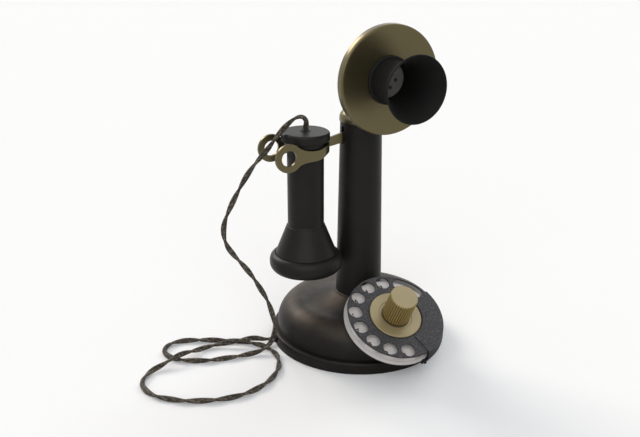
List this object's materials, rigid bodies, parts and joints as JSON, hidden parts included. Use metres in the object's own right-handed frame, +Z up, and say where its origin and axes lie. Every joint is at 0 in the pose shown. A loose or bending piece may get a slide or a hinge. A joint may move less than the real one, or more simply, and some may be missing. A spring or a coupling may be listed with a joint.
{
  "type": "telephone",
  "caption": "Antique desk-stand telephone with a tilting trumpet transmitter, a corded receiver hung on a forked hook, and a sloping dial on a round base.",
  "frame": {"origin": "middle of the base's underside, on the stem's axis, at the surface it stands on", "axes": "+Z up along the stem, -Y towards the transmitter and dial, -X towards the hanging receiver"},
  "size_m": [0.2939, 0.1831, 0.2955],
  "materials": {
    "black_enamel": "satin black japanned metal",
    "brass": "satin lacquered brass",
    "plain_brass": "bare turned brass",
    "steel": "plain steel",
    "magnet_steel": "dark magnet steel",
    "hard_rubber": "black hard rubber, satin",
    "wheel_enamel": "grey-black speckled enamel",
    "white_enamel": "white enamel",
    "fibre": "vulcanised fibre",
    "felt": "felt",
    "carbon": "carbon cell in an insulated case",
    "copper_winding": "silk-covered winding",
    "cord_braid": "braided cotton, twisted pair"
  },
  "bodies": {
    "stand": {"base_shell": "black_enamel", "stem_foot_ring": "black_enamel", "base_plate": "steel", "foot_pad": "felt", "plate_screws": "steel", "stem_tube": "black_enamel", "stem_nut": "steel", "stem_cap": "brass", "tilt_screw": "brass", "tilt_nut": "brass", "terminal_block": "fibre", "terminal_screws": "plain_brass", "cord_grommet": "hard_rubber", "switch_frame": "plain_brass", "hook_pin": "steel", "contact_leaves": "plain_brass", "leaf_insulators": "fibre", "dial_housing": "black_enamel", "number_plate": "white_enamel", "dial_guard": "wheel_enamel", "stop_screw": "wheel_enamel", "mechanism_plate": "plain_brass", "cord_lying": "cord_braid"},
    "hook": {"hook_lever": "brass", "hook_roller": "fibre"},
    "receiver": {"receiver_shell": "hard_rubber", "ear_cap": "hard_rubber", "sound_disc": "steel", "receiver_cap": "hard_rubber", "cord_nut": "hard_rubber", "receiver_magnet": "magnet_steel", "magnet_clamp": "plain_brass", "pole_coils": "copper_winding", "cord_hanging": "cord_braid"},
    "transmitter": {"face_plate": "brass", "transmitter_cup": "black_enamel", "mouthpiece": "hard_rubber", "mouthpiece_grille": "hard_rubber", "voice_disc": "steel", "carbon_button": "carbon", "button_bridge": "plain_brass", "transmitter_lug": "black_enamel"},
    "dial": {"finger_wheel": "wheel_enamel", "centre_disc": "brass", "dial_knob": "brass", "dial_shaft": "steel", "main_gear": "plain_brass", "mainspring": "steel"},
    "train": {"second_arbor": "plain_brass"},
    "governor": {"governor": "plain_brass"}
  },
  "joints": [
    {"name": "receiver_lift", "type": "slide", "parent": "stand", "child": "receiver", "axis": [0, 0, 1], "range_m": [0, 0.06]},
    {"name": "hook_swing", "type": "hinge", "parent": "stand", "child": "hook", "pos_m": [0.005, 0, 0.1935], "axis": [0, 1, 0], "range_deg": [0, 8]},
    {"name": "transmitter_tilt", "type": "hinge", "parent": "stand", "child": "transmitter", "pos_m": [0, 0, 0.232], "axis": [1, 0, 0], "range_deg": [-25, 20]},
    {"name": "dial_turn", "type": "hinge", "parent": "stand", "child": "dial", "pos_m": [0, -0.0661, 0.0472], "axis": [0, -0.5, 0.866], "range_deg": [-240, 0], "stiffness_Nm_per_rad": 0.01, "springref_deg": 85.94},
    {"name": "second_turn", "type": "hinge", "parent": "stand", "child": "train", "pos_m": [-0.01455, -0.05083, 0.03754], "axis": [0, -0.5, 0.866], "range_deg": [-30, 765]},
    {"name": "governor_turn", "type": "hinge", "parent": "stand", "child": "governor", "pos_m": [-0.01601, -0.05983, 0.03234], "axis": [0, -0.5, 0.866], "range_deg": [-1920, 90]}
  ],
  "couplings": [
    {"joint": "hook_swing", "follows": "receiver_lift", "rad_per_m": 2.3271},
    {"joint": "second_turn", "follows": "dial_turn", "ratio": -3},
    {"joint": "governor_turn", "follows": "dial_turn", "ratio": 7.5}
  ]
}
